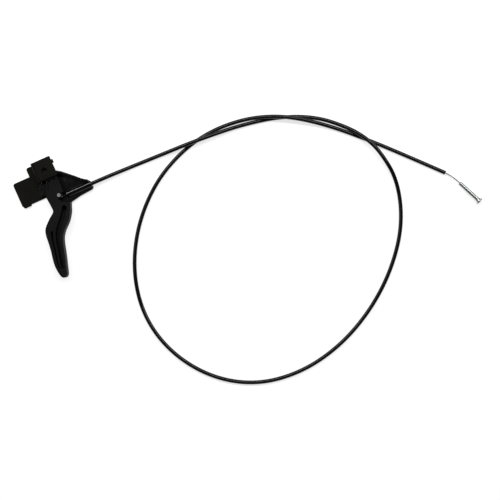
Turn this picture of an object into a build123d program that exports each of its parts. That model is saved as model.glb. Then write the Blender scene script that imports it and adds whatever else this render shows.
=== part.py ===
from build123d import *
import math
import os

# Hood release cable, in millimetres. The bracket lies flat on z = 0 with the lever's pivot on the Z axis.
# The cable leaves the housing along +X and the grip points towards -Y.
os.makedirs("parts", exist_ok=True)

# How far a cut or a hidden overlap reaches past the surface that it meets
THROUGH = 1.0

# Folded sheet bracket
SHEET = 2.0
BEND_INSIDE = 2.2
FOLD_OVERLAP = 1.0
FLANGE_LEFT = -45.9
FLANGE_TOP = 3.2
FLANGE_BOTTOM = -29.0
FLANGE_CORNER = 3.0
EAR_LEFT = -23.1
EAR_CORNER = 2.8
STRIP_TOP = 14.6
WALL_OUTSIDE = -13.2
WALL_INSIDE = WALL_OUTSIDE + SHEET
BRIDGE_RIGHT = 12.9
BRIDGE_BOTTOM = -10.7
BRIDGE_UNDERSIDE = 18.0
BRIDGE_TOP = BRIDGE_UNDERSIDE + SHEET
BRIDGE_CORNER = 1.0
RELIEF = 0.6
LUG_LENGTH = 1.8
LUG_WIDTH = 4.6
LUG_Y = 7.2
LIP_LEFT = -44.2
LIP_RIGHT = -34.2
LIP_OUT = 1.9
LIP_HEIGHT = 4.4
LIP_CORNER = 1.4
SHEET_EDGE = 0.35

# Moulded housing
FLOOR = 2.4
FLOOR_TOP = SHEET + FLOOR
FLOOR_GAP = 0.1
RIM_TOP = 12.0
RIM_EDGE = 0.7
BAND_TOP = 6.6
BAND_EDGE = 0.6
POST_RIGHT = 10.2
POST_WIDTH = 1.6
POST_BOTTOM = -2.0
POST_TOP = 12.0
TONGUE_LEFT = -19.4
TONGUE_TOP = BRIDGE_BOTTOM - 0.2
TONGUE_BOTTOM = -26.4
TONGUE_CORNER = 1.5
PAD_PLACE = (14.8, -25.4)
PAD_RADIUS = 4.4
PAD_HEIGHT = 0.8
HOLLOW = [(12.6, -9.4), (31.6, -26.2), (31.6, -30.2), (12.6, -30.2)]

# Pivot
HUB_RADIUS = 8.0
JOURNAL_RADIUS = 4.1
SOCKET_DEPTH = 2.0
PIVOT_CLEARANCE = 0.08
END_PLAY = 0.35
JOURNAL_RECESS = 0.9
JOURNAL_HOLLOW = 3.3
JOURNAL_HOLLOW_DEPTH = 4.0

# Lever
LEVER_UNDER = 6.0
LEVER_GAP = 1.2
LEVER_TOP = BRIDGE_UNDERSIDE - LEVER_GAP
GRIP_UNDER = 1.6
GRIP_FOOT_CLEARANCE = 0.7
LEVER_EDGE = 1.0
ARM_CORNER = 2.6
RECESS_CORNER = 1.0
CHANNEL_FLOOR = 7.5
CHANNEL_WALL = 2.1
CHANNEL_END = 10
ARM_CHANNEL_FLOOR = 14.4

# Nipple, wire and sheath
NIPPLE_X = 3.6
NIPPLE_Y = -34.1
NIPPLE_RADIUS = 2.6
NIPPLE_BOTTOM = 4.9
NIPPLE_SUNK = 0.6
NIPPLE_TOP = LEVER_TOP - NIPPLE_SUNK
NIPPLE_HUB = 6.8
NIPPLE_HUB_RISE = 0.4
NIPPLE_CLEARANCE = 0.1
NIPPLE_EDGE = 0.35
NIPPLE_LUG_RADIUS = 1.6
NIPPLE_LUG_LENGTH = 3.0
CABLE_Y = -36.3
CABLE_Z = 6.4
WIRE_RADIUS = 0.75
LINER_WALL = 0.3
WINDING_WALL = 0.55
JACKET_RADIUS = 2.5
LAYER_GAP = 0.05
WIRE_GAP = 0.1
WIRE_END_GAP = 1.0
WIRE_TRAVEL = 15.0
LEAD_LENGTH = 26.0

# Sleeve of the housing
SLEEVE_RADIUS = 4.0
SLEEVE_LEFT = 11.8
SLEEVE_RIGHT = 45.4
SLEEVE_EDGE = 0.7
MOUTH_RADIUS = 2.8
MOUTH_LENGTH = 6.2
GUIDE_RADIUS = 1.35
FERRULE_GAP = 1.4
FERRULE_START = NIPPLE_X + LEAD_LENGTH + FERRULE_GAP
FERRULE_LENGTH = 12.0
FERRULE_WALL = 0.3
FERRULE_END_WALL = 1.2

# Far end
TAIL_HIDDEN = 20.0
TAIL_REACH = 7.6
FITTING_REAR = (464.6, -221.9, 2.6)
FITTING_FRONT = (477.7, -253.2, 4.65)
BARREL_RADIUS = 2.45
BARREL_EDGE = 0.35
CRIMP_LENGTH = 11.5
CRIMP_DEPTH = 0.25
CRIMP_COUNT = 4
FLARE_LENGTH = 5.4
FLARE_RADIUS = 3.5
HEAD_RADIUS = 4.6
HEAD_THICKNESS = 1.5
FITTING_BORE_DEPTH = 12.0

# Rivets
RIVET_PLACES = [(-16.4, -16.4), (-16.4, -23.2)]
RIVET_RADIUS = 1.25
RIVET_HEAD = 2.0
RIVET_HEIGHT = 1.0
RIVET_EDGE = 0.6
RIVET_CLEARANCE = 0.05

# Outer edge of the housing's rim in plan, from the bridge to the sleeve's end, and the rim's inner edge
RIM_OUTER = [(11.4, -3.5), (17.8, -7.8), (31.2, -20.0), (36.5, -25.4), (40.6, -28.5), (43.6, -30.5)]
RIM_INNER = [(43.4, -34.3), (39.4, -31.2), (34.4, -27.9), (28.9, -22.4), (15.7, -10.4), (10.4, -6.9)]

# Lower edge of the housing in plan, from the sleeve's end to the lever, and its edge hidden under the lever
LOWER_EDGE = [(44.3, -41.9), (42.9, -43.0), (26.0, -44.4), (13.2, -46.9)]
UNDER_LEVER = [(12.6, -47.9), (6.5, -49.1), (0.0, -49.6), (-7.0, -47.5), (-8.6, -44.0), (-8.8, -36.0)]
GRIP_FOOT_RADIUS = max(math.hypot(x, y) for x, y in UNDER_LEVER) + GRIP_FOOT_CLEARANCE

# Grip outline: matching points down its left and right edges, and the points round its tip
GRIP_LEFT = [(-10.6, -47.5), (-12.0, -51.0), (-16.1, -54.1), (-22.3, -59.2), (-28.6, -65.9)]
GRIP_LEFT += [(-30.8, -71.5), (-31.9, -80.4), (-33.0, -90.0), (-34.5, -98.8), (-36.1, -107.5)]
GRIP_LEFT += [(-36.4, -116.5), (-35.3, -124.8)]
GRIP_RIGHT = [(13.1, -47.5), (11.0, -51.4), (8.9, -56.7), (5.4, -62.6), (-0.3, -69.6), (-6.2, -74.9)]
GRIP_RIGHT += [(-12.2, -82.2), (-15.6, -90.6), (-18.2, -99.8), (-21.0, -109.4), (-23.8, -118.0)]
GRIP_RIGHT += [(-26.0, -125.2)]
GRIP_TIP = [(-33.4, -129.0), (-30.8, -130.0), (-28.1, -128.8)]

# Grooves in the grip's top and pockets in its underside: left and right share of its width, first station
GRIP_CHANNELS = [(0.27, 0.38, 5), (0.53, 0.81, 1)]
GRIP_POCKETS = [(0.16, 0.44, 3), (0.56, 0.84, 3)]

# Arm outline, from the hub down the left side to the grip and back past the nipple
ARM_LEFT = [(-5.8, -3.5), (-4.6, -12.5), (-12.0, -30.8), (-11.3, -38.1), (-10.6, -47.5), (0.0, -50.0)]
ARM_NECK = [(3.0, -43.0), (2.0, -38.4)]
ARM_RIGHT = [(10.5, -25.0), (10.3, -11.5), (7.2, -3.5)]
ARM_RECESSES = [
    [(-2.0, -12.6), (-6.6, -24.0), (1.2, -24.0), (2.0, -12.6)],
    [(4.0, -12.6), (3.4, -24.0), (8.2, -24.0), (8.2, -12.6)],
]

# The nipple's seat is open to the wire between these angles, in degrees
OPENING_START = -104
OPENING_END = 16
OPENING_DEPTH = 5.6
OPENING_REACH = 12.0

# The sheath's route along the ground, from inside the sleeve, round the loop and back across itself
LOW = JACKET_RADIUS
HIGH = LOW + 4 * JACKET_RADIUS
ROUTE = [
    (FERRULE_START + FERRULE_END_WALL + LAYER_GAP, CABLE_Y, CABLE_Z),
    (62.8, CABLE_Y, CABLE_Z),
    (98.8, -36.9, LOW),
    (132.8, -38.1, LOW),
    (172.8, -40.1, HIGH),
    (196.8, -41.6, HIGH),
    (244.8, -44.9, LOW),
    (294.1, -55.2, LOW),
    (334.5, -73.9, LOW),
    (362.8, -99.8, 6.5),
    (378.3, -120.9, HIGH),
    (388.8, -145.2, HIGH),
    (395.3, -187.7, LOW),
    (378.1, -240.8, LOW),
    (341.9, -287.0, LOW),
    (296.3, -322.8, LOW),
    (243.6, -347.5, LOW),
    (186.9, -357.4, LOW),
    (130.7, -348.6, LOW),
    (83.5, -318.2, LOW),
    (50.0, -270.7, LOW),
    (36.7, -216.5, LOW),
    (45.8, -160.9, LOW),
    (73.9, -109.3, LOW),
    (115.9, -68.4, LOW),
    (162.1, -45.2, LOW),
    (205.5, -36.4, LOW),
    (248.6, -39.2, 4.2),
    (283.9, -50.7, HIGH),
    (313.0, -66.9, HIGH),
    (347.8, -93.1, LOW),
    (385.4, -129.8, LOW),
    (419.6, -166.2, LOW),
    (453.2, -203.1, LOW),
]


def corner_radii(points):
    """Largest arc for each corner: 0.45 of the shorter run over the tangent of half the turn."""
    radii = []
    for before, here, after in zip(points, points[1:], points[2:]):
        run_in = Vector(here) - Vector(before)
        run_out = Vector(after) - Vector(here)
        half_turn = math.radians(run_in.get_angle(run_out)) / 2
        radii.append(0.45 * min(run_in.length, run_out.length) / math.tan(half_turn))
    return radii


def extruded(points, bottom, top, corners=None):
    """A prism on a closed outline of points, with rounded upright corners where given."""
    face = make_face(Polyline(*points, close=True))
    solid = Pos(0, 0, bottom) * extrude(face, top - bottom)
    for radius, places in (corners or {}).items():
        edges = ShapeList()
        for x, y in places:
            upright = solid.edges().filter_by(Axis.Z)
            edges.append(upright.sort_by_distance(Vector(x, y, (bottom + top) / 2))[0])
        solid = fillet(edges, radius)
    return solid


def disc(x, y, radius, bottom, top):
    return Pos(x, y, bottom) * extrude(Circle(radius), top - bottom)


def along_x(radius, start, end, y=CABLE_Y, z=CABLE_Z, end_radius=None):
    """A round bar or cone along the cable's axis."""
    length = end - start
    if end_radius is None:
        bar = Cylinder(radius, length)
    else:
        bar = Cone(radius, end_radius, length)
    return Pos((start + end) / 2, y, z) * Rot(0, 90, 0) * bar


def face_inside(*lines):
    """A flat face bounded by lines and curves that meet end to end."""
    edges = ShapeList()
    for line in lines:
        edges += line.edges()
    return make_face(edges)


def folded_strip():
    """Foot, side wall and bridge plate: one bent section, as deep as the bridge."""
    outside = BEND_INSIDE + SHEET
    foot = WALL_INSIDE - outside - FOLD_OVERLAP
    section = make_face(
        Polyline(
            (foot, 0),
            (WALL_INSIDE, 0),
            (WALL_INSIDE, BRIDGE_UNDERSIDE),
            (BRIDGE_RIGHT, BRIDGE_UNDERSIDE),
            (BRIDGE_RIGHT, BRIDGE_TOP),
            (WALL_OUTSIDE, BRIDGE_TOP),
            (WALL_OUTSIDE, SHEET),
            (foot, SHEET),
            close=True,
        )
    )
    wide = [(WALL_INSIDE, 0), (WALL_OUTSIDE, BRIDGE_TOP)]
    tight = [(WALL_INSIDE, BRIDGE_UNDERSIDE), (WALL_OUTSIDE, SHEET)]
    for radius, places in ((outside, wide), (BEND_INSIDE, tight)):
        picked = [section.vertices().sort_by_distance(Vector(x, z, 0))[0] for x, z in places]
        section = fillet(picked, radius)
    strip = Pos(0, STRIP_TOP, 0) * extrude(Plane.XZ * section, STRIP_TOP - BRIDGE_BOTTOM)
    bridge_corners = strip.edges().filter_by(Axis.Z).group_by(Axis.X)[-1]
    return fillet(bridge_corners, BRIDGE_CORNER)


def turned_lip():
    """The short lip turned up at the flange's lower left corner."""
    outer = FLANGE_BOTTOM - LIP_OUT
    section = make_face(
        Polyline(
            (FLANGE_BOTTOM + SHEET, 0),
            (outer, 0),
            (outer, LIP_HEIGHT),
            (outer + SHEET, LIP_HEIGHT),
            (outer + SHEET, SHEET),
            (FLANGE_BOTTOM + SHEET, SHEET),
            close=True,
        )
    )
    section = fillet(section.vertices().sort_by_distance(Vector(outer, 0, 0))[0], SHEET)
    lip = Pos(LIP_LEFT, 0, 0) * extrude(Plane.YZ * section, LIP_RIGHT - LIP_LEFT)
    outer_corners = lip.edges().filter_by(Axis.Z).group_by(Axis.Y)[0]
    return fillet(outer_corners, LIP_CORNER)


def mounting_bracket():
    """Flange, side wall and raised bridge, folded from one sheet."""
    fold_start = WALL_INSIDE - BEND_INSIDE - SHEET
    flange = extruded(
        [
            (FLANGE_LEFT, FLANGE_TOP),
            (FLANGE_LEFT, FLANGE_BOTTOM),
            (WALL_INSIDE, FLANGE_BOTTOM),
            (WALL_INSIDE, BRIDGE_BOTTOM - RELIEF),
            (fold_start, BRIDGE_BOTTOM - RELIEF),
            (fold_start, STRIP_TOP),
            (EAR_LEFT, STRIP_TOP),
            (EAR_LEFT, FLANGE_TOP),
        ],
        0,
        SHEET,
        {
            FLANGE_CORNER: [(FLANGE_LEFT, FLANGE_TOP), (FLANGE_LEFT, FLANGE_BOTTOM)],
            EAR_CORNER: [(EAR_LEFT, STRIP_TOP)],
        },
    )
    lug_middle = (BRIDGE_RIGHT + LUG_LENGTH / 2, LUG_Y, BRIDGE_UNDERSIDE + SHEET / 2)
    lug = Pos(*lug_middle) * Box(LUG_LENGTH + SHEET_EDGE, LUG_WIDTH, SHEET)
    body = flange + folded_strip() + lug + turned_lip()
    body -= disc(0, 0, JOURNAL_RADIUS + PIVOT_CLEARANCE, BRIDGE_UNDERSIDE - THROUGH, BRIDGE_TOP + THROUGH)
    for x, y in RIVET_PLACES:
        body -= disc(x, y, RIVET_RADIUS + RIVET_CLEARANCE, -THROUGH, SHEET + THROUGH)
        sink = Cone(RIVET_HEAD + RIVET_CLEARANCE, RIVET_RADIUS + RIVET_CLEARANCE, SHEET / 2)
        body -= Pos(x, y, SHEET / 4) * sink
    bridge_edges = body.faces().filter_by(Axis.Z).sort_by(Axis.Z)[-1].outer_wire().edges()
    return fillet(bridge_edges, SHEET_EDGE)


def cable_housing():
    """One moulding: floor, tongue over the flange, web with its rim, sleeve and lower band."""
    left = WALL_INSIDE + FLOOR_GAP
    sleeve_top = CABLE_Y + SLEEVE_RADIUS - 2 * SLEEVE_EDGE
    sleeve_bottom = CABLE_Y - SLEEVE_RADIUS
    floor = extruded(
        [
            (left, POST_TOP),
            (POST_RIGHT, POST_TOP),
            (POST_RIGHT, RIM_OUTER[0][1] + THROUGH),
            *RIM_OUTER,
            (SLEEVE_RIGHT, sleeve_top),
            (SLEEVE_RIGHT, sleeve_bottom),
            *LOWER_EDGE,
            *UNDER_LEVER,
            (left, TONGUE_BOTTOM),
        ],
        0,
        FLOOR_TOP,
    )
    tongue = extruded(
        [
            (TONGUE_LEFT, TONGUE_TOP),
            (left + THROUGH, TONGUE_TOP),
            (left + THROUGH, TONGUE_BOTTOM),
            (TONGUE_LEFT, TONGUE_BOTTOM),
        ],
        SHEET,
        FLOOR_TOP,
        {TONGUE_CORNER: [(TONGUE_LEFT, TONGUE_TOP), (TONGUE_LEFT, TONGUE_BOTTOM)]},
    )
    rim = extruded([*RIM_OUTER, (SLEEVE_RIGHT, sleeve_top), *RIM_INNER], FLOOR_TOP - THROUGH, RIM_TOP)
    rim = fillet(rim.faces().sort_by(Axis.Z)[-1].edges(), RIM_EDGE)
    sleeve = along_x(SLEEVE_RADIUS, SLEEVE_LEFT, SLEEVE_RIGHT)
    sleeve = fillet(sleeve.edges().sort_by(Axis.X)[-1], SLEEVE_EDGE)
    foot_width = 2 * (SLEEVE_RADIUS - SLEEVE_EDGE)
    sleeve_foot = Pos((SLEEVE_LEFT + SLEEVE_RIGHT) / 2, CABLE_Y, CABLE_Z / 2) * Box(
        SLEEVE_RIGHT - SLEEVE_LEFT, foot_width, CABLE_Z
    )
    band_left = LOWER_EDGE[-1][0] + BAND_EDGE
    band = extruded(
        [
            (band_left, CABLE_Y),
            (SLEEVE_RIGHT - BAND_EDGE, CABLE_Y),
            (SLEEVE_RIGHT - BAND_EDGE, sleeve_bottom),
            *[(x, y + BAND_EDGE) for x, y in LOWER_EDGE[:-1]],
            (band_left, LOWER_EDGE[-1][1] + BAND_EDGE),
        ],
        FLOOR_TOP - THROUGH,
        BAND_TOP,
    )
    band = chamfer(band.faces().sort_by(Axis.Z)[-1].edges().sort_by(Axis.Y)[:2], BAND_EDGE)
    post = extruded(
        [
            (POST_RIGHT - POST_WIDTH, POST_BOTTOM),
            (POST_RIGHT, POST_BOTTOM),
            (POST_RIGHT, POST_TOP),
            (POST_RIGHT - POST_WIDTH, POST_TOP),
        ],
        FLOOR_TOP - THROUGH,
        BRIDGE_UNDERSIDE,
    )
    pad = disc(*PAD_PLACE, PAD_RADIUS, FLOOR_TOP, FLOOR_TOP + PAD_HEIGHT)
    pad = chamfer(pad.edges().sort_by(Axis.Z)[-1], PAD_HEIGHT / 2)
    body = floor + tongue + rim + sleeve + sleeve_foot + band + post + pad
    # hollow underside of the web, with a wall all round it
    body -= extruded(HOLLOW, -THROUGH, SHEET)
    body -= along_x(MOUTH_RADIUS, SLEEVE_LEFT, SLEEVE_LEFT + MOUTH_LENGTH, end_radius=GUIDE_RADIUS)
    body -= along_x(GUIDE_RADIUS, SLEEVE_LEFT, FERRULE_START)
    ferrule_radius = JACKET_RADIUS + LAYER_GAP + FERRULE_WALL
    body -= along_x(ferrule_radius + LAYER_GAP, FERRULE_START, FERRULE_START + FERRULE_LENGTH + LAYER_GAP)
    body -= along_x(JACKET_RADIUS + LAYER_GAP, FERRULE_START, SLEEVE_RIGHT + THROUGH)
    body -= disc(0, 0, JOURNAL_RADIUS + PIVOT_CLEARANCE, FLOOR_TOP - SOCKET_DEPTH, FLOOR_TOP + THROUGH)
    for x, y in RIVET_PLACES:
        body -= disc(x, y, RIVET_RADIUS + RIVET_CLEARANCE, SHEET - THROUGH, FLOOR_TOP + THROUGH)
    return body


def rivets():
    """Heads over the moulding with bevelled edges, tails sunk flush in the sheet."""
    made = []
    for x, y in RIVET_PLACES:
        shank = disc(x, y, RIVET_RADIUS, SHEET / 2, FLOOR_TOP)
        tail = Pos(x, y, SHEET / 4) * Cone(RIVET_HEAD, RIVET_RADIUS, SHEET / 2)
        head = disc(x, y, RIVET_HEAD, FLOOR_TOP, FLOOR_TOP + RIVET_HEIGHT)
        head = chamfer(head.edges().sort_by(Axis.Z)[-1], RIVET_EDGE)
        made.append(shank + tail + head)
    return Compound(children=made)


def across_grip(share, station):
    """A point part of the way across the grip, from its left edge to its right edge."""
    (left_x, left_y), (right_x, right_y) = GRIP_LEFT[station], GRIP_RIGHT[station]
    return (left_x + share * (right_x - left_x), left_y + share * (right_y - left_y))


def channel(left_share, right_share, first, last, bottom, top):
    """A groove down the grip between two shares of its width, with round ends."""
    left = [across_grip(left_share, station) for station in range(first, last + 1)]
    right = [across_grip(right_share, station) for station in range(first, last + 1)]
    middle_share = (left_share + right_share) / 2
    start_x, start_y = across_grip(middle_share, first)
    end_x, end_y = across_grip(middle_share, last)
    half_start = (Vector(*left[0]) - Vector(*right[0])).length / 2
    half_end = (Vector(*left[-1]) - Vector(*right[-1])).length / 2
    groove = face_inside(
        Spline(*left),
        ThreePointArc(left[-1], (end_x, end_y - half_end), right[-1]),
        Spline(*reversed(right)),
        ThreePointArc(right[0], (start_x, start_y + half_start), left[0]),
    )
    return Pos(0, 0, bottom) * extrude(groove, top - bottom)


def nipple_opening():
    """The wedge that opens the nipple's seat towards the wire, with room for the lug to swing."""
    first = math.radians(OPENING_START)
    last = math.radians(OPENING_END)
    far = NIPPLE_X + OPENING_REACH
    low = NIPPLE_Y + OPENING_DEPTH * math.sin(first)
    return extruded(
        [
            (NIPPLE_X, NIPPLE_Y),
            (NIPPLE_X + OPENING_REACH * math.cos(first), low),
            (far, low),
            (far, NIPPLE_Y + OPENING_REACH * math.sin(last)),
        ],
        0,
        LEVER_TOP + THROUGH,
    )


def release_lever():
    """Hub, arm, nipple seat and curved grip with two channels."""
    grip_edge = face_inside(
        Spline(*GRIP_LEFT, *GRIP_TIP, *reversed(GRIP_RIGHT)),
        Polyline(GRIP_RIGHT[0], ARM_NECK[0], (-ARM_NECK[0][0], ARM_NECK[0][1]), GRIP_LEFT[0]),
    )
    grip = Pos(0, 0, GRIP_UNDER) * extrude(grip_edge, LEVER_TOP - GRIP_UNDER)
    grip -= disc(0, 0, GRIP_FOOT_RADIUS, 0, LEVER_UNDER)
    arm = extruded(
        [
            *ARM_LEFT,
            *ARM_NECK,
            (NIPPLE_X, NIPPLE_Y - NIPPLE_RADIUS),
            (NIPPLE_X + NIPPLE_HUB, NIPPLE_Y + NIPPLE_HUB_RISE),
            *ARM_RIGHT,
        ],
        LEVER_UNDER,
        LEVER_TOP,
        {ARM_CORNER: [ARM_LEFT[1], ARM_LEFT[2], ARM_RIGHT[1]]},
    )
    body = grip + arm
    rim = body.faces().filter_by(Axis.Z).sort_by(Axis.Z)[-1].outer_wire().edges()
    body = fillet(rim, LEVER_EDGE)
    grip_bottom = body.faces().filter_by(Axis.Z).sort_by(Axis.Z)[0].outer_wire().edges()
    body = chamfer(grip_bottom, LEVER_EDGE / 2)
    for left_share, right_share, first in GRIP_CHANNELS:
        body -= channel(left_share, right_share, first, CHANNEL_END, CHANNEL_FLOOR, LEVER_TOP + THROUGH)
    for left_share, right_share, first in GRIP_POCKETS:
        body -= channel(left_share, right_share, first, CHANNEL_END, 0, CHANNEL_FLOOR - CHANNEL_WALL)
    for corners in ARM_RECESSES:
        body -= extruded(corners, ARM_CHANNEL_FLOOR, LEVER_TOP + THROUGH, {RECESS_CORNER: corners})
    body += disc(0, 0, HUB_RADIUS, FLOOR_TOP + END_PLAY, BRIDGE_UNDERSIDE - END_PLAY)
    journal_top = BRIDGE_TOP - JOURNAL_RECESS
    socket_bottom = FLOOR_TOP - SOCKET_DEPTH
    body += disc(0, 0, JOURNAL_RADIUS, socket_bottom + PIVOT_CLEARANCE, journal_top)
    body -= disc(0, 0, JOURNAL_HOLLOW, journal_top - JOURNAL_HOLLOW_DEPTH, journal_top + THROUGH)
    body -= disc(NIPPLE_X, NIPPLE_Y, NIPPLE_RADIUS + NIPPLE_CLEARANCE, 0, LEVER_TOP + THROUGH)
    return body - nipple_opening()


def cable_nipple():
    """Cast barrel with a side lug on the wire's axis."""
    barrel = disc(NIPPLE_X, NIPPLE_Y, NIPPLE_RADIUS, NIPPLE_BOTTOM, NIPPLE_TOP)
    barrel = chamfer(barrel.edges().sort_by(Axis.Z)[-1], NIPPLE_EDGE)
    lug_end = NIPPLE_X + NIPPLE_LUG_LENGTH
    lug = along_x(NIPPLE_LUG_RADIUS, NIPPLE_X - THROUGH, lug_end)
    lug = chamfer(lug.edges().sort_by(Axis.X)[-1], NIPPLE_EDGE)
    socket = along_x(WIRE_RADIUS + LAYER_GAP / 2, NIPPLE_X, lug_end + THROUGH)
    return barrel + lug - socket


def wire_lead():
    lead = along_x(WIRE_RADIUS, NIPPLE_X + LAYER_GAP, NIPPLE_X + LEAD_LENGTH)
    return chamfer(lead.edges().sort_by(Axis.X)[-1], WIRE_RADIUS / 4)


def sheath_ferrule():
    """Cup over the sheath's end, with a hole for the wire in its end wall."""
    inside = JACKET_RADIUS + LAYER_GAP
    outside = inside + FERRULE_WALL
    cup = along_x(outside, FERRULE_START, FERRULE_START + FERRULE_LENGTH)
    cup -= along_x(inside, FERRULE_START + FERRULE_END_WALL, FERRULE_START + FERRULE_LENGTH + THROUGH)
    return cup - along_x(GUIDE_RADIUS, FERRULE_START - THROUGH, FERRULE_START + FERRULE_LENGTH)


def swept_round(path, outside, inside=0.0):
    """A round bar or tube along a path."""
    start = Plane(path @ 0, z_dir=path % 0)
    ring = Circle(outside)
    if inside:
        ring -= Circle(inside)
    return sweep(start * ring, path=path)


def cable_layers(path):
    """Strand, liner, winding and jacket, one inside the other along the same path."""
    liner_inside = WIRE_RADIUS + WIRE_GAP
    liner_outside = liner_inside + LINER_WALL
    winding_inside = liner_outside + LAYER_GAP
    winding_outside = winding_inside + WINDING_WALL
    jacket_inside = winding_outside + LAYER_GAP
    hidden = TAIL_HIDDEN + WIRE_TRAVEL + WIRE_END_GAP
    strand_path = path.trim(0.0, 1.0 - hidden / path.length)
    return {
        "inner_wire": swept_round(strand_path, WIRE_RADIUS),
        "liner_tube": swept_round(path, liner_outside, liner_inside),
        "armour_winding": swept_round(path, winding_outside, winding_inside),
        "cable_jacket": swept_round(path, JACKET_RADIUS, jacket_inside),
    }


def wire_tail(path):
    """Bare strand: straight inside the sheath, then one arc into the fitting."""
    sheath_end = path @ 1
    heading = (path % 1).normalized()
    rear = Vector(*FITTING_REAR)
    axis = (Vector(*FITTING_FRONT) - rear).normalized()
    hidden_start = sheath_end - heading * TAIL_HIDDEN
    into_fitting = rear + axis * (FITTING_BORE_DEPTH - WIRE_END_GAP)
    hidden = Line(hidden_start, sheath_end)
    bend = Bezier(sheath_end, sheath_end + heading * TAIL_REACH, rear - axis * TAIL_REACH, rear)
    pressed = Line(rear, into_fitting)
    line = Wire([hidden, bend, pressed])
    return swept_round(line, WIRE_RADIUS)


def end_fitting():
    """Barrel crimped at its rear, flared into a thin round head."""
    rear = Vector(*FITTING_REAR)
    front = Vector(*FITTING_FRONT)
    length = (front - rear).length
    head_back = length - HEAD_THICKNESS
    flare_start = head_back - FLARE_LENGTH
    profile = face_inside(
        Polyline(
            (0, 0),
            (BARREL_RADIUS - BARREL_EDGE, 0),
            (BARREL_RADIUS, BARREL_EDGE),
            (BARREL_RADIUS, flare_start),
        ),
        ThreePointArc(
            (BARREL_RADIUS, flare_start),
            (BARREL_RADIUS + 0.28 * (FLARE_RADIUS - BARREL_RADIUS), flare_start + 0.6 * FLARE_LENGTH),
            (FLARE_RADIUS, head_back),
        ),
        Polyline(
            (FLARE_RADIUS, head_back),
            (HEAD_RADIUS - BARREL_EDGE, head_back),
            (HEAD_RADIUS, head_back + BARREL_EDGE),
            (HEAD_RADIUS, length - BARREL_EDGE),
            (HEAD_RADIUS - BARREL_EDGE, length),
            (0, length),
            (0, 0),
        ),
    )
    body = revolve(Plane.XZ * profile, Axis.Z)
    pitch = CRIMP_LENGTH / (CRIMP_COUNT + 0.5)
    for number in range(CRIMP_COUNT):
        middle = pitch * (number + 0.75)
        ring = Circle(BARREL_RADIUS + THROUGH) - Circle(BARREL_RADIUS - CRIMP_DEPTH)
        body -= Pos(0, 0, middle - 0.3 * pitch) * extrude(ring, 0.6 * pitch)
    body -= Pos(0, 0, -THROUGH) * extrude(Circle(WIRE_RADIUS + LAYER_GAP / 2), FITTING_BORE_DEPTH + THROUGH)
    return Plane(rear, z_dir=front - rear) * body


def main():
    radii = corner_radii(ROUTE)
    path = FilletPolyline(*ROUTE, radius=radii)
    print("corner radii", [round(radius) for radius in radii])
    print("sheath length", round(path.length, 1))
    nodes = {
        "mounting_bracket": mounting_bracket(),
        "cable_housing": cable_housing(),
        "housing_rivets": rivets(),
        "release_lever": release_lever(),
        "cable_nipple": cable_nipple(),
        "wire_lead": wire_lead(),
        "sheath_ferrule": sheath_ferrule(),
        "wire_tail": wire_tail(path),
        "end_fitting": end_fitting(),
    }
    nodes.update(cable_layers(path))
    for name, shape in nodes.items():
        export_step(shape, f"parts/{name}.step")


main()
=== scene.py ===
"""Hood release cable: finishes, sheath, strands, floor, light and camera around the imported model."""

import math

import bpy
import numpy as np
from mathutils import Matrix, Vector


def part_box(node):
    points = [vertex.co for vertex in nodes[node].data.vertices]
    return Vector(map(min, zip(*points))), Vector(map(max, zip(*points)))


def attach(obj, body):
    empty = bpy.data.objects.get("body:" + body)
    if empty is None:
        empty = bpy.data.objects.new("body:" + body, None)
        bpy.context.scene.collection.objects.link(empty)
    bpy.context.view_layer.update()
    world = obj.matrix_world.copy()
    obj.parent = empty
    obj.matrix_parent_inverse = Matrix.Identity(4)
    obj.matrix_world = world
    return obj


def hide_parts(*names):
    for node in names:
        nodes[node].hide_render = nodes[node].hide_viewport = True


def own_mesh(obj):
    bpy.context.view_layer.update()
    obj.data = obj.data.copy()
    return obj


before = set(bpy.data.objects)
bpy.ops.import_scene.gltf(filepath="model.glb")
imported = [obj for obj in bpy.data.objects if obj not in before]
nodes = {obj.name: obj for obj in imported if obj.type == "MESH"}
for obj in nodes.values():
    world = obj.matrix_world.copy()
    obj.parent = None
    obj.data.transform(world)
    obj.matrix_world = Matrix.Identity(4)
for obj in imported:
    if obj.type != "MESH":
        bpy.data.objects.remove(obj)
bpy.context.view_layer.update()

# Camera: straight above the middle of the photograph, turned with the handle's frame
PHOTO_TURN = math.radians(24)
CAMERA_PLACE = (0.1915, -0.1919, 1.2)
VIEW_WIDTH = 0.625
SENSOR = 36.0
CLIP_START = 0.05
PHOTO_UP = Vector((math.sin(PHOTO_TURN), math.cos(PHOTO_TURN), 0))
PHOTO_RIGHT = Vector((math.cos(PHOTO_TURN), -math.sin(PHOTO_TURN), 0))

# Floor, surround and lamps; a lamp stands so far up the photograph and to the right of its middle
FLOOR_RADIUS = 80.0
FLOOR_DROP = -0.0003
FLOOR_SIDES = 64
FLOOR_GREY = 0.4
FLOOR_GLOW = 0.72
SURROUND = 0.08
LAMPS = {
    "top_lamp": {"up": 0.66, "right": 0.1, "height": 1.18, "width": 2.6, "depth": 0.22, "watts": 25.0},
    "side_lamp": {"up": 0.3, "right": -0.9, "height": 1.0, "width": 0.8, "depth": 0.8, "watts": 3.0},
}

# Sheath and its layers: inner and outer radius of each wall, the bevel of its ends and its points around
SHEATH_RADIUS = 0.0025
SHEATH_WALL = (0.0018, SHEATH_RADIUS)
SHEATH_MESH = {"edge": 0.00035, "around": 28}
WINDING_WALL = (0.0012, 0.00175)
WINDING_MESH = {"edge": 0.0001, "around": 16}
LINER_WALL = (0.00085, 0.00115)
LINER_MESH = {"edge": 0.00008, "around": 16}
WINDING_PITCH = 0.0031

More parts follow.
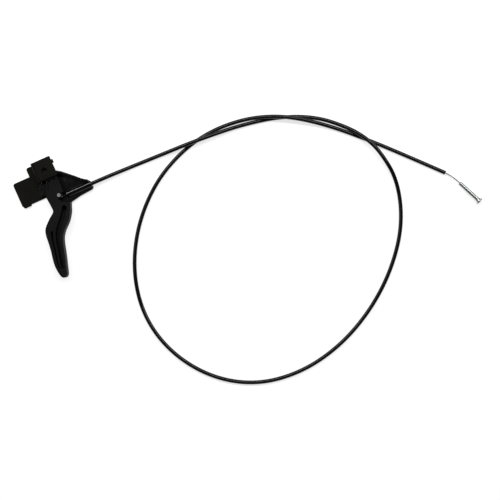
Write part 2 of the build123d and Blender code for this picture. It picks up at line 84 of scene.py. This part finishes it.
# Strand of twisted wires; inside the sheath, where nothing shows it, it is plain and stops short of the end
STRAND_RADIUS = 0.00075
STRAND_WIRES = 6
STRAND_LAY = 0.009
STRAND_DEPTH = 0.2
STRAND_STEP = 0.00022
STRAND_AROUND = 48
HIDDEN_AROUND = 12
HIDDEN_SHARE = 0.975

# Route of the sheath from the housing to its far end; its axis is LOW on the floor and HIGH over a crossing
ROUTE_PER_RUN = 12
LOW = SHEATH_RADIUS
HIGH = 0.0087
CABLE_AXIS = (-0.0363, 0.0064)
ROUTE = [
    (0.03225, *CABLE_AXIS),
    (0.0628, *CABLE_AXIS),
    (0.0988, -0.0369, LOW),
    (0.1328, -0.0381, LOW),
    (0.1728, -0.0401, HIGH),
    (0.1968, -0.0416, HIGH),
    (0.2448, -0.0449, LOW),
    (0.2941, -0.0552, LOW),
    (0.3345, -0.0739, LOW),
    (0.3628, -0.0998, 0.0046),
    (0.3783, -0.1209, HIGH),
    (0.3888, -0.1452, HIGH),
    (0.3953, -0.1877, LOW),
    (0.3781, -0.2408, LOW),
    (0.3419, -0.2870, LOW),
    (0.2963, -0.3228, LOW),
    (0.2436, -0.3475, LOW),
    (0.1869, -0.3574, LOW),
    (0.1307, -0.3486, LOW),
    (0.0835, -0.3182, LOW),
    (0.0500, -0.2707, LOW),
    (0.0367, -0.2165, LOW),
    (0.0458, -0.1609, LOW),
    (0.0739, -0.1093, LOW),
    (0.1159, -0.0684, LOW),
    (0.1621, -0.0452, LOW),
    (0.2055, -0.0364, LOW),
    (0.2486, -0.0392, 0.0036),
    (0.2839, -0.0507, HIGH),
    (0.3130, -0.0669, HIGH),
    (0.3478, -0.0931, LOW),
    (0.3854, -0.1298, LOW),
    (0.4196, -0.1662, LOW),
    (0.4532, -0.2031, LOW),
]

# Bare wire between the sheath's end and the fitting: it starts inside the sheath, bends where the line of
# the sheath has run on for the reach, and ends in the fitting
FITTING_REAR = Vector((0.4646, -0.2219, 0.0026))
FITTING_FRONT = Vector((0.4777, -0.2532, 0.00465))
TAIL_REACH = 0.0097
TAIL_PER_RUN = 24
TAIL_INSIDE = 0.0015
TAIL_IN_FITTING = 0.003

# Edges that turn more than this stay sharp
SHARP_TURN = math.radians(40)


def spline_points(name, points, per_run):
    """Points read from the quadratic NURBS spline whose control points are given, end to end."""
    curve = bpy.data.curves.new(name, "CURVE")
    curve.dimensions = "3D"
    curve.resolution_u = per_run
    spline = curve.splines.new("NURBS")
    spline.points.add(len(points) - 1)
    for place, point in zip(spline.points, points):
        place.co = (*point, 1.0)
    spline.order_u = 3
    spline.use_endpoint_u = True
    holder = bpy.data.objects.new(name, curve)
    mesh = bpy.data.meshes.new_from_object(holder)
    line = np.zeros(len(mesh.vertices) * 3)
    mesh.vertices.foreach_get("co", line)
    bpy.data.meshes.remove(mesh)
    bpy.data.curves.remove(curve)
    return line.reshape(-1, 3)


def evenly(line, step):
    """The same line with points about one step apart along it."""
    along = np.concatenate([[0], np.cumsum(np.linalg.norm(np.diff(line, axis=0), axis=1))])
    at = np.linspace(0, along[-1], max(2, math.ceil(along[-1] / step) + 1))
    return np.stack([np.interp(at, along, line[:, axis]) for axis in range(3)], axis=1)


def line_frame(line):
    """Tangent, sideways and upward unit vectors at each point, and the distance along the line.

    Sideways is tangent x Z and upward is sideways x tangent, so a flat line never twists."""
    tangent = np.gradient(line, axis=0)
    tangent /= np.linalg.norm(tangent, axis=1, keepdims=True)
    sideways = np.cross(tangent, (0.0, 0.0, 1.0))
    sideways /= np.linalg.norm(sideways, axis=1, keepdims=True)
    upward = np.cross(sideways, tangent)
    along = np.concatenate([[0], np.cumsum(np.linalg.norm(np.diff(line, axis=0), axis=1))])
    return tangent, sideways, upward, along


def fans(count, around):
    """Triangles that close the first and last ring to two middle points, facing outwards."""
    spots = np.arange(around)
    turned = (spots + 1) % around
    base = (count - 1) * around
    middle = count * around
    start = np.stack([spots, turned, np.full(around, middle)], axis=1)
    end = np.stack([base + turned, base + spots, np.full(around, middle + 1)], axis=1)
    return start.tolist() + end.tolist()


def grid_mesh(name, rings, along, looped):
    """A mesh on a grid of points: rings[i, j] is point j of ring i, and each ring closes on itself.

    Faces join ring i to ring i + 1 and face away from the line. The last ring joins the first where looped,
    and otherwise both end rings close to their own middle. The UV map runs round the ring and along it."""
    count, around = rings.shape[:2]
    steps = count if looped else count - 1
    ring, spot = np.meshgrid(np.arange(steps), np.arange(around), indexing="ij")
    next_ring = (ring + 1) % count
    next_spot = (spot + 1) % around
    corners = [(ring, spot), (next_ring, spot), (next_ring, next_spot), (ring, next_spot)]
    faces = np.stack([r * around + s for r, s in corners], axis=-1).reshape(-1, 4)
    points = rings.reshape(-1, 3)
    ends = []
    if not looped:
        points = np.concatenate([points, [rings[0].mean(0)], [rings[-1].mean(0)]])
        ends = fans(count, around)
    mesh = bpy.data.meshes.new(name)
    mesh.from_pydata(points.tolist(), [], faces.tolist() + ends)

    # round the ring the map goes from 0 to 1, so the faces that close the ring end on 1 and not on 0
    u = np.stack([spot, spot, spot + 1, spot + 1], axis=-1).reshape(-1) / around
    v = along[np.stack([ring, next_ring, next_ring, ring], axis=-1)].reshape(-1)
    loops = np.zeros((len(mesh.loops), 2), dtype=np.float32)
    loops[: len(u)] = np.stack([u, v], axis=1)
    layer = mesh.uv_layers.new(name="UVMap")
    layer.data.foreach_set("uv", loops.ravel())
    mesh.polygons.foreach_set("use_smooth", np.ones(len(mesh.polygons), dtype=bool))
    mesh.set_sharp_from_angle(angle=SHARP_TURN)
    mesh.validate()
    mesh.update()
    return mesh


def placed(mesh):
    """An object at the origin that shows the mesh."""
    piece = bpy.data.objects.new(mesh.name, mesh)
    bpy.context.scene.collection.objects.link(piece)
    return piece


def spokes_round(sideways, upward, around):
    """Unit vectors cos a sideways + sin a upward, and the angles a, for each point of a line."""
    angle = np.arange(around) * 2 * math.pi / around
    spokes = np.cos(angle)[:, None] * sideways[:, None] + np.sin(angle)[:, None] * upward[:, None]
    return spokes, angle


def round_surface(name, line, radius_at, around):
    """A surface round a line: point = line + r(s, a) (cos a sideways + sin a upward).

    radius_at gets the distance s along the line and the angle a, both as grids, and returns r."""
    _, sideways, upward, along = line_frame(line)
    spokes, angle = spokes_round(sideways, upward, around)
    s, a = np.meshgrid(along, angle, indexing="ij")
    rings = line[:, None] + radius_at(s, a)[..., None] * spokes
    return placed(grid_mesh(name, rings, along, looped=False))


def hollow_surface(name, line, wall, edge, around):
    """A pipe wall round a line, as one closed profile carried along it; wall is its inner and outer radius.

    Rings run out along the outer radius, over the bevelled end, back along the inner radius and over the
    bevelled start to the first ring again."""
    tangent, sideways, upward, along = line_frame(line)
    spokes, _ = spokes_round(sideways, upward, around)
    inside, outside = wall
    outer = line[:, None] + outside * spokes
    inner = line[:, None] + inside * spokes
    start = line[0] + (outside - edge) * spokes[0]
    end = line[-1] + (outside - edge) * spokes[-1]
    outer[0] += edge * tangent[0]
    outer[-1] -= edge * tangent[-1]
    rings = np.concatenate([outer, end[None], inner[::-1], start[None]])
    distance = np.concatenate([along, along[-1:], along[::-1], along[:1]])
    return placed(grid_mesh(name, rings, distance, looped=True))


def strand_radius(s, a):
    """Radius of a strand of wires twisted round a core: the outer wires bulge between shallow valleys.

    r = radius (1 - depth (1 - |cos(wires (a - 2 pi s / lay) / 2)|))"""
    turn = STRAND_WIRES * (a - 2 * math.pi * s / STRAND_LAY) / 2
    return STRAND_RADIUS * (1 - STRAND_DEPTH * (1 - np.abs(np.cos(turn))))


def plain_radius(s, a):
    """The strand's radius without its twist, the same all over."""
    return np.full_like(s, STRAND_RADIUS)


def new_material(name):
    """A material with its Principled shader, and the node tree to add to."""
    material = bpy.data.materials.new(name)
    material.use_nodes = True
    tree = material.node_tree
    return material, tree, tree.nodes["Principled BSDF"]


def add(tree, kind, inputs=None, **settings):
    """A node with its settings and the values or links of its inputs."""
    node = tree.nodes.new(kind)
    for name, value in settings.items():
        setattr(node, name, value)
    for name, value in (inputs or {}).items():
        if isinstance(value, bpy.types.NodeSocket):
            tree.links.new(value, node.inputs[name])
        else:
            node.inputs[name].default_value = value
    return node


def build_group(name, numbers, results):
    """An empty shader group that takes a vector and some numbers and puts out numbers, and its two ends."""
    group = bpy.data.node_groups.new(name, "ShaderNodeTree")
    group.interface.new_socket("Vector", in_out="INPUT", socket_type="NodeSocketVector")
    for label in numbers:
        group.interface.new_socket(label, in_out="INPUT", socket_type="NodeSocketFloat")
    for label in results:
        group.interface.new_socket(label, in_out="OUTPUT", socket_type="NodeSocketFloat")
    start = group.nodes.new("NodeGroupInput")
    end = group.nodes.new("NodeGroupOutput")
    return group, start, end


def moulded_skin():
    """Fine grain of a moulded or coated surface, with broad patches that are a little duller.

    Puts out a Height for bump and a Patches value from 0 to 1."""
    group, start, end = build_group("moulded_skin", ["Grain Scale", "Patch Scale"], ["Height", "Patches"])
    grain = add(
        group,
        "ShaderNodeTexNoise",
        {"Vector": start.outputs["Vector"], "Scale": start.outputs["Grain Scale"], "Detail": 3.0},
    )
    patch = add(
        group,
        "ShaderNodeTexNoise",
        {"Vector": start.outputs["Vector"], "Scale": start.outputs["Patch Scale"], "Detail": 4.0},
    )
    spread = add(
        group,
        "ShaderNodeMapRange",
        {"Value": patch.outputs["Fac"], "From Min": 0.35, "From Max": 0.65},
    )
    group.links.new(grain.outputs["Fac"], end.inputs["Height"])
    group.links.new(spread.outputs["Result"], end.inputs["Patches"])
    return group


def hairlines():
    """Fine lines drawn along one direction, as handling or a tool leaves them: noise stretched along Y.

    Puts out a Mask from 0 to 1."""
    group, start, end = build_group("hairlines", ["Scale"], ["Mask"])
    squeezed = add(
        group,
        "ShaderNodeMapping",
        {"Vector": start.outputs["Vector"], "Scale": (900.0, 25.0, 900.0)},
    )
    sized = add(
        group,
        "ShaderNodeVectorMath",
        {0: squeezed.outputs["Vector"], "Scale": start.outputs["Scale"]},
        operation="SCALE",
    )
    noise = add(group, "ShaderNodeTexNoise", {"Vector": sized.outputs["Vector"], "Scale": 1.0, "Detail": 2.0})
    mask = add(
        group,
        "ShaderNodeMapRange",
        {"Value": noise.outputs["Fac"], "From Min": 0.6, "From Max": 0.72},
    )
    group.links.new(mask.outputs["Result"], end.inputs["Mask"])
    return group


GROUPS = {"skin": moulded_skin(), "hairlines": hairlines()}


def place_group(tree, name, inputs):
    """One of the shader groups, on the piece's Object coordinates."""
    where = add(tree, "ShaderNodeTexCoord").outputs["Object"]
    return add(tree, "ShaderNodeGroup", {"Vector": where, **inputs}, node_tree=GROUPS[name])


def skin_group(tree, scales):
    """The moulded skin, with the scales of its grain and of its patches."""
    grain, patch = scales
    return place_group(tree, "skin", {"Grain Scale": grain, "Patch Scale": patch})


def tinted(tree, mask, plain, other):
    """A colour that goes from plain to other where the mask is 1; plain may be a socket."""
    if not isinstance(plain, bpy.types.NodeSocket):
        plain = (*plain, 1.0)
    mix = add(tree, "ShaderNodeMix", {"Factor": mask, "A": plain, "B": (*other, 1.0)}, data_type="RGBA")
    return mix.outputs["Result"]


def ranged(tree, value, low, high):
    """The value from 0 to 1 spread between low and high."""
    result = add(tree, "ShaderNodeMapRange", {"Value": value, "To Min": low, "To Max": high})
    return result.outputs["Result"]


def raised(tree, shader, height, bump):
    """A bump from a height; bump is its strength and its distance."""
    strength, distance = bump
    relief = add(tree, "ShaderNodeBump", {"Height": height, "Strength": strength, "Distance": distance})
    tree.links.new(relief.outputs["Normal"], shader.inputs["Normal"])


def patchy(tree, shader, patches, colours, roughness):
    """Colour and roughness that go from one value to another in broad patches."""
    tree.links.new(tinted(tree, patches, *colours), shader.inputs["Base Color"])
    tree.links.new(ranged(tree, patches, *roughness), shader.inputs["Roughness"])


def dusted(tree, colour, low, high, dust):
    """A colour lightened as painted light on what faces up between two heights, fading out towards the higher
    one.
    """
    coordinates = add(tree, "ShaderNodeTexCoord")
    height = add(tree, "ShaderNodeSeparateXYZ", {"Vector": coordinates.outputs["Object"]}).outputs["Z"]
    facing = add(tree, "ShaderNodeSeparateXYZ", {"Vector": coordinates.outputs["Normal"]}).outputs["Z"]
    depth = add(
        tree,
        "ShaderNodeMapRange",
        {"Value": height, "From Min": low, "From Max": high, "To Min": 1.0, "To Max": 0.0},
    )
    mask = add(
        tree,
        "ShaderNodeMath",
        {0: depth.outputs["Result"], 1: facing},
        operation="MULTIPLY",
        use_clamp=True,
    )
    return tinted(tree, mask.outputs["Value"], colour, dust)


def surface_detail(tree, shader, colours, roughness, scales, bump, scratch, scratch_scale=1.0, dust=None):
    """Grain in the bump, patches in colour and roughness, fine hairlines that are duller, and painted light.

    scratch is what the hairlines add to the roughness, and dust is two heights and a colour: what faces up
    between them is lightened towards the colour, as painted light."""
    skin = skin_group(tree, scales)
    marks = place_group(tree, "hairlines", {"Scale": scratch_scale})
    colour = tinted(tree, skin.outputs["Patches"], *colours)
    if dust:
        # painted light: up-facing surfaces low on the piece are lightened
        colour = dusted(tree, colour, *dust)
    tree.links.new(colour, shader.inputs["Base Color"])
    dull = ranged(tree, skin.outputs["Patches"], *roughness)
    lines = ranged(tree, marks.outputs["Mask"], 0.0, scratch)
    total = add(tree, "ShaderNodeMath", {0: dull, 1: lines}, operation="ADD")
    tree.links.new(total.outputs["Value"], shader.inputs["Roughness"])
    raised(tree, shader, skin.outputs["Height"], bump)


def black_skin(name, specular, **detail):
    """A black moulding or coating."""
    material, tree, shader = new_material(name)
    surface_detail(tree, shader, scratch=0.07, **detail)
    shader.inputs["Specular IOR Level"].default_value = specular
    return material


def bright_metal(name, **detail):
    """Cast or drawn metal, with dull grey patches where it was handled."""
    material, tree, shader = new_material(name)
    surface_detail(tree, shader, scratch=0.12, scratch_scale=2.0, **detail)
    shader.inputs["Metallic"].default_value = 1.0
    return material


def wound_jacket(name, specular, colours, roughness, scales, bump, winding):
    """Extruded jacket: a faint grain, and the winding under it showing as a spiral.

    winding is how much the spiral adds to the height: sin(2 pi (v / pitch - u)), with u once round the
    jacket and v the distance along it."""
    material, tree, shader = new_material(name)
    uv = add(tree, "ShaderNodeUVMap", uv_map="UVMap").outputs["UV"]
    parts = add(tree, "ShaderNodeSeparateXYZ", {"Vector": uv})
    turns = add(tree, "ShaderNodeMath", {0: parts.outputs["Y"], 1: 1 / WINDING_PITCH}, operation="MULTIPLY")
    spiral = add(tree, "ShaderNodeMath", {0: turns.outputs[0], 1: parts.outputs["X"]}, operation="SUBTRACT")
    angle = add(tree, "ShaderNodeMath", {0: spiral.outputs[0], 1: 2 * math.pi}, operation="MULTIPLY")
    wave = add(tree, "ShaderNodeMath", {0: angle.outputs[0]}, operation="SINE")
    skin = skin_group(tree, scales)
    height = add(
        tree,
        "ShaderNodeMath",
        {0: wave.outputs[0], 1: winding, 2: skin.outputs["Height"]},
        operation="MULTIPLY_ADD",
    )
    raised(tree, shader, height.outputs[0], bump)
    patchy(tree, shader, skin.outputs["Patches"], colours, roughness)
    shader.inputs["Specular IOR Level"].default_value = specular
    return material


def cloudy_plastic(name, colours, roughness, scales):
    """Slippery off-white plastic, a little cloudy."""
    material, tree, shader = new_material(name)
    patchy(tree, shader, skin_group(tree, scales).outputs["Patches"], colours, roughness)
    return material


# For each: two colours and two values of roughness that patches go between, the scales of grain and patches,
# and the strength and distance of the bump
MATERIALS = {
    "bracket_coat": black_skin(
        "bracket_coat",
        specular=0.05,
        colours=[(0.0031, 0.0028, 0.0020), (0.0064, 0.0058, 0.0044)],
        roughness=(0.5, 0.62),
        scales=(1800.0, 45.0),
        bump=(0.35, 0.00008),
    ),
    "housing_moulding": black_skin(
        "housing_moulding",
        specular=0.4,
        colours=[(0.0005, 0.0006, 0.0012), (0.0010, 0.0011, 0.0019)],
        roughness=(0.14, 0.2),
        scales=(1400.0, 70.0),
        bump=(0.05, 0.00003),
    ),
    "lever_moulding": black_skin(
        "lever_moulding",
        specular=0.06,
        colours=[(0.0040, 0.0040, 0.0039), (0.0060, 0.0060, 0.0058)],
        roughness=(0.5, 0.6),
        scales=(2200.0, 50.0),
        bump=(0.2, 0.00005),
        # painted light: the up-facing floors of the grip's low channels are lightened where the channel walls
        # shade them
        dust=(0.0075, 0.0155, (0.0115, 0.0115, 0.0112)),
    ),
    "rivet_coat": black_skin(
        "rivet_coat",
        specular=0.1,
        colours=[(0.0040, 0.0036, 0.0027), (0.0056, 0.0050, 0.0038)],
        roughness=(0.4, 0.5),
        scales=(2000.0, 300.0),
        bump=(0.3, 0.00005),
    ),
    "sheath_plastic": wound_jacket(
        "sheath_plastic",
        specular=0.26,
        colours=[(0.0022, 0.0022, 0.0025), (0.0036, 0.0036, 0.0040)],
        roughness=(0.08, 0.12),
        scales=(1500.0, 30.0),
        bump=(0.06, 0.00006),
        winding=0.35,
    ),
    "zinc_casting": bright_metal(
        "zinc_casting",
        colours=[(0.40, 0.415, 0.40), (0.29, 0.305, 0.295)],
        roughness=(0.3, 0.4),
        scales=(2600.0, 260.0),
        bump=(0.4, 0.00006),
    ),
    # painted shade: a darker copy of zinc_casting, so that the nipple looks dimmer than the fitting under the
    # same lamps
    "shaded_zinc": bright_metal(
        "shaded_zinc",
        colours=[(0.26, 0.27, 0.26), (0.185, 0.195, 0.19)],
        roughness=(0.32, 0.42),
        scales=(2600.0, 260.0),
        bump=(0.4, 0.00006),
    ),
    "steel_strand": bright_metal(
        "steel_strand",
        colours=[(0.30, 0.30, 0.29), (0.22, 0.22, 0.21)],
        roughness=(0.34, 0.46),
        scales=(3500.0, 260.0),
        bump=(0.4, 0.00003),
    ),
    # painted shade: the lead strand is coloured dark for the shadow it lies in between the nipple and the
    # housing
    "shade_dark_strand": bright_metal(
        "shade_dark_strand",
        colours=[(0.045, 0.042, 0.036), (0.025, 0.023, 0.020)],
        roughness=(0.3, 0.42),
        scales=(3500.0, 260.0),
        bump=(0.4, 0.00003),
    ),
    "ferrule_steel": bright_metal(
        "ferrule_steel",
        colours=[(0.6, 0.6, 0.58), (0.48, 0.48, 0.46)],
        roughness=(0.28, 0.4),
        scales=(2500.0, 260.0),
        bump=(0.4, 0.00003),
    ),
    "winding_steel": bright_metal(
        "winding_steel",
        colours=[(0.5, 0.5, 0.5), (0.36, 0.36, 0.36)],
        roughness=(0.35, 0.5),
        scales=(2500.0, 260.0),
        bump=(0.4, 0.00003),
    ),
    "liner_plastic": cloudy_plastic(
        "liner_plastic",
        colours=[(0.62, 0.61, 0.57), (0.5, 0.49, 0.45)],
        roughness=(0.35, 0.45),
        scales=(2500.0, 500.0),
    ),
}

NODE_FINISH = {
    "mounting_bracket": "bracket_coat",
    "cable_housing": "housing_moulding",
    "housing_rivets": "rivet_coat",
    "release_lever": "lever_moulding",
    "cable_nipple": "shaded_zinc",
    "sheath_ferrule": "ferrule_steel",
    "end_fitting": "zinc_casting",
}


def finish_nodes():
    """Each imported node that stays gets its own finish."""
    for name, finish in NODE_FINISH.items():
        mesh = nodes[name].data
        mesh.materials.clear()
        mesh.materials.append(MATERIALS[finish])


def dressed(piece, finish, body, replaced):
    """Gives a new piece its finish and its body, and hides the node that it stands for."""
    piece.data.materials.append(MATERIALS[finish])
    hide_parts(replaced)
    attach(piece, body)
    return piece


def sheath_and_layers():
    """The sheath on its route, and the winding, liner and strand inside it."""
    line = spline_points("sheath_route", ROUTE, ROUTE_PER_RUN)
    sheath = hollow_surface("sheath", line, SHEATH_WALL, **SHEATH_MESH)
    dressed(sheath, "sheath_plastic", "bracket", "cable_jacket")
    winding = hollow_surface("winding", line, WINDING_WALL, **WINDING_MESH)
    dressed(winding, "winding_steel", "bracket", "armour_winding")
    liner = hollow_surface("liner", line, LINER_WALL, **LINER_MESH)
    dressed(liner, "liner_plastic", "bracket", "liner_tube")
    hidden_end = int(len(line) * HIDDEN_SHARE)
    core = round_surface("strand_in_sheath", line[:hidden_end], plain_radius, HIDDEN_AROUND)
    dressed(core, "steel_strand", "bracket", "inner_wire")
    return sheath, line, [winding, liner, core]


def tail_wire():
    """Bare strand that leaves the sheath and bends into the fitting."""
    end = Vector(ROUTE[-1])
    heading = (end - Vector(ROUTE[-2])).normalized()
    axis = (FITTING_FRONT - FITTING_REAR).normalized()
    points = [
        end - heading * TAIL_INSIDE,
        end + heading * TAIL_REACH,
        FITTING_REAR + axis * TAIL_IN_FITTING,
    ]
    line = evenly(spline_points("tail_route", points, TAIL_PER_RUN), STRAND_STEP)
    tail = round_surface("bare_wire", line, strand_radius, STRAND_AROUND)
    dressed(tail, "steel_strand", "bracket", "wire_tail")
    chord = FITTING_REAR - end
    chord.z = 0
    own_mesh(tail)
    return tail


def lead_wire():
    """Strand from the nipple into the housing, straight along the cable's axis; its dark colour is painted
    shade.
    """
    low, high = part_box("wire_lead")
    middle = (low + high) / 2
    ends = [(low.x, middle.y, middle.z), (high.x, middle.y, middle.z)]
    line = evenly(np.array(ends), STRAND_STEP)
    lead = round_surface("lead_strand", line, strand_radius, STRAND_AROUND)
    dressed(lead, "shade_dark_strand", "nipple", "wire_lead")


def seen_rays(tree):
    """1 for camera, glossy and transmission rays, else 0."""
    path = add(tree, "ShaderNodeLightPath")
    some = add(
        tree,
        "ShaderNodeMath",
        {0: path.outputs["Is Camera Ray"], 1: path.outputs["Is Glossy Ray"]},
        operation="MAXIMUM",
    )
    both = add(
        tree,
        "ShaderNodeMath",
        {0: some.outputs[0], 1: path.outputs["Is Transmission Ray"]},
        operation="MAXIMUM",
    )
    return both.outputs[0]


def floor_white():
    """White floor: diffuse for shadows, with a glow of its own only towards camera, gloss and glass."""
    material = bpy.data.materials.new("floor_white")
    material.use_nodes = True
    tree = material.node_tree
    tree.nodes.clear()
    plain = add(tree, "ShaderNodeBsdfDiffuse", {"Color": (FLOOR_GREY, FLOOR_GREY, FLOOR_GREY, 1.0)})
    light = add(tree, "ShaderNodeEmission", {"Color": (1.0, 1.0, 1.0, 1.0), "Strength": FLOOR_GLOW})
    lifted = add(tree, "ShaderNodeAddShader")
    tree.links.new(plain.outputs[0], lifted.inputs[0])
    tree.links.new(light.outputs[0], lifted.inputs[1])
    mixed = add(tree, "ShaderNodeMixShader", {"Fac": seen_rays(tree)})
    tree.links.new(plain.outputs[0], mixed.inputs[1])
    tree.links.new(lifted.outputs[0], mixed.inputs[2])
    out = add(tree, "ShaderNodeOutputMaterial")
    tree.links.new(mixed.outputs[0], out.inputs["Surface"])
    return material


def floor():
    """Round white floor just below the parts that lie on it."""
    turn = [2 * math.pi * side / FLOOR_SIDES for side in range(FLOOR_SIDES)]
    rim = [(FLOOR_RADIUS * math.cos(a), FLOOR_RADIUS * math.sin(a), FLOOR_DROP) for a in turn]
    mesh = bpy.data.meshes.new("floor")
    mesh.from_pydata(rim, [], [tuple(range(FLOOR_SIDES))])
    mesh.materials.append(floor_white())
    placed(mesh)


def lamp(name, up, right, height, width, depth, watts):
    """A softbox that looks at the middle of the picture."""
    middle = Vector((CAMERA_PLACE[0], CAMERA_PLACE[1], 0))
    place = PHOTO_UP * up + PHOTO_RIGHT * right + Vector((0, 0, height))
    light = bpy.data.lights.new(name, "AREA")
    light.shape = "RECTANGLE"
    light.size = width
    light.size_y = depth
    light.energy = watts
    holder = bpy.data.objects.new(name, light)
    holder.location = middle + place
    holder.rotation_euler = (-place).to_track_quat("-Z", "Y").to_euler()
    bpy.context.scene.collection.objects.link(holder)


def studio():
    """White floor, one softbox from the photograph's top, a weaker one from its left, and a dim surround."""
    floor()
    for name, values in LAMPS.items():
        lamp(name, **values)
    world = bpy.data.worlds.new("surround")
    bpy.context.scene.world = world
    world.use_nodes = True
    back = world.node_tree.nodes["Background"]
    back.inputs["Color"].default_value = (1.0, 1.0, 1.0, 1.0)
    back.inputs["Strength"].default_value = SURROUND


def camera():
    """Camera straight above the middle of the picture, looking down."""
    data = bpy.data.cameras.new("camera")
    data.sensor_width = SENSOR
    data.lens = SENSOR * CAMERA_PLACE[2] / VIEW_WIDTH
    data.clip_start = CLIP_START
    holder = bpy.data.objects.new("camera", data)
    holder.location = CAMERA_PLACE
    holder.rotation_euler = (0, 0, -PHOTO_TURN)
    bpy.context.scene.collection.objects.link(holder)
    bpy.context.scene.camera = holder
    bpy.context.scene.view_settings.view_transform = "Standard"


def main():
    """Builds the scene."""
    camera()
    studio()
    finish_nodes()
    sheath, line, inner = sheath_and_layers()
    tail = tail_wire()
    lead_wire()


main()
